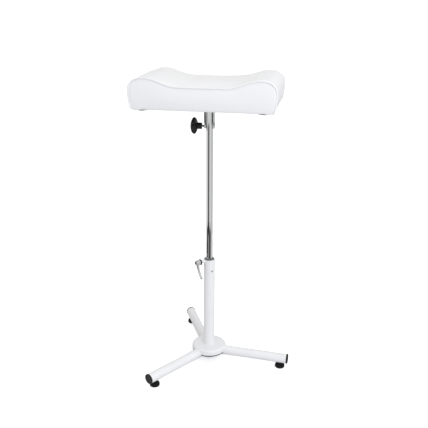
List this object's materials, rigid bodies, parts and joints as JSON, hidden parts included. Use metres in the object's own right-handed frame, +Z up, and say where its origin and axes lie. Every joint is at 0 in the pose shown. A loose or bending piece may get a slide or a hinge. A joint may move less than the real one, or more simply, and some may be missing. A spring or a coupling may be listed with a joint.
{
  "type": "pedicure footrest",
  "caption": "Free-standing pedicure footrest: a padded saddle-shaped rest that tilts on a chrome post, which slides and swivels in a column on splayed legs.",
  "frame": {"origin": "on the floor, in the middle of the part's plan box; the column's axis stands at x -0.028, y -0.008", "axes": "+Z up, +X along the cushion's long side to the right, -Y towards the front panel of the cushion"},
  "size_m": [0.4253, 0.4278, 0.8475],
  "materials": {
    "white_paint": "satin white powder coat",
    "chrome": "polished chrome plate",
    "zinc_steel": "zinc plated steel",
    "black_plastic": "moulded black plastic",
    "grey_plastic": "moulded dark grey plastic",
    "rubber": "moulded black rubber",
    "nylon": "natural nylon",
    "brass": "turned brass",
    "plywood": "bare plywood",
    "lining": "black non-woven lining",
    "white_leather": "white artificial leather, a coated fabric, over foam"
  },
  "bodies": {
    "base": {"hub": "white_paint", "hub_underplate_1": "black_plastic", "hub_underplate_2": "black_plastic", "hub_underplate_3": "black_plastic", "leg_1": "white_paint", "leg_2": "white_paint", "leg_3": "white_paint", "leg_cap_1": "black_plastic", "leg_cap_2": "black_plastic", "leg_cap_3": "black_plastic", "foot_1": "rubber", "foot_2": "rubber", "foot_3": "rubber", "column_tube": "white_paint", "column_foot_plug": "zinc_steel", "column_washer": "zinc_steel", "column_bolt": "zinc_steel", "column_bush": "grey_plastic", "bush_screw": "zinc_steel", "clamp_boss": "white_paint", "clamp_pad": "brass"},
    "lever": {"clamp_lever": "chrome", "clamp_screw": "zinc_steel", "clamp_washer": "black_plastic"},
    "guide": {"post_guide": "nylon"},
    "post": {"post_tube": "chrome", "post_end_plug": "zinc_steel", "post_top_cap": "black_plastic"},
    "head": {"tilt_bracket": "zinc_steel", "bracket_screw_1": "zinc_steel", "bracket_screw_2": "zinc_steel", "bracket_screw_3": "zinc_steel", "bracket_screw_4": "zinc_steel", "seat_board": "plywood", "underside_lining": "lining", "cushion": "white_leather"},
    "knob": {"tilt_knob": "black_plastic", "tilt_stud": "zinc_steel", "tilt_washer": "zinc_steel"}
  },
  "joints": [
    {"name": "height_slide", "type": "slide", "parent": "base", "child": "guide", "axis": [0, 0, 1], "range_m": [-0.24, 0]},
    {"name": "post_swivel", "type": "hinge", "parent": "guide", "child": "post", "pos_m": [-0.028, -0.008, 0.277], "axis": [0, 0, 1], "continuous": true},
    {"name": "cushion_tilt", "type": "hinge", "parent": "post", "child": "head", "pos_m": [-0.028, -0.008, 0.708], "axis": [1, 0, 0], "range_deg": [-45, 45]},
    {"name": "knob_turn", "type": "hinge", "parent": "head", "child": "knob", "pos_m": [-0.028, -0.008, 0.708], "axis": [-1, 0, 0], "range_deg": [0, 180]},
    {"name": "lever_turn", "type": "hinge", "parent": "base", "child": "lever", "pos_m": [-0.028, -0.008, 0.3185], "axis": [-0.7431, -0.6691, 0], "range_deg": [0, 120]}
  ]
}
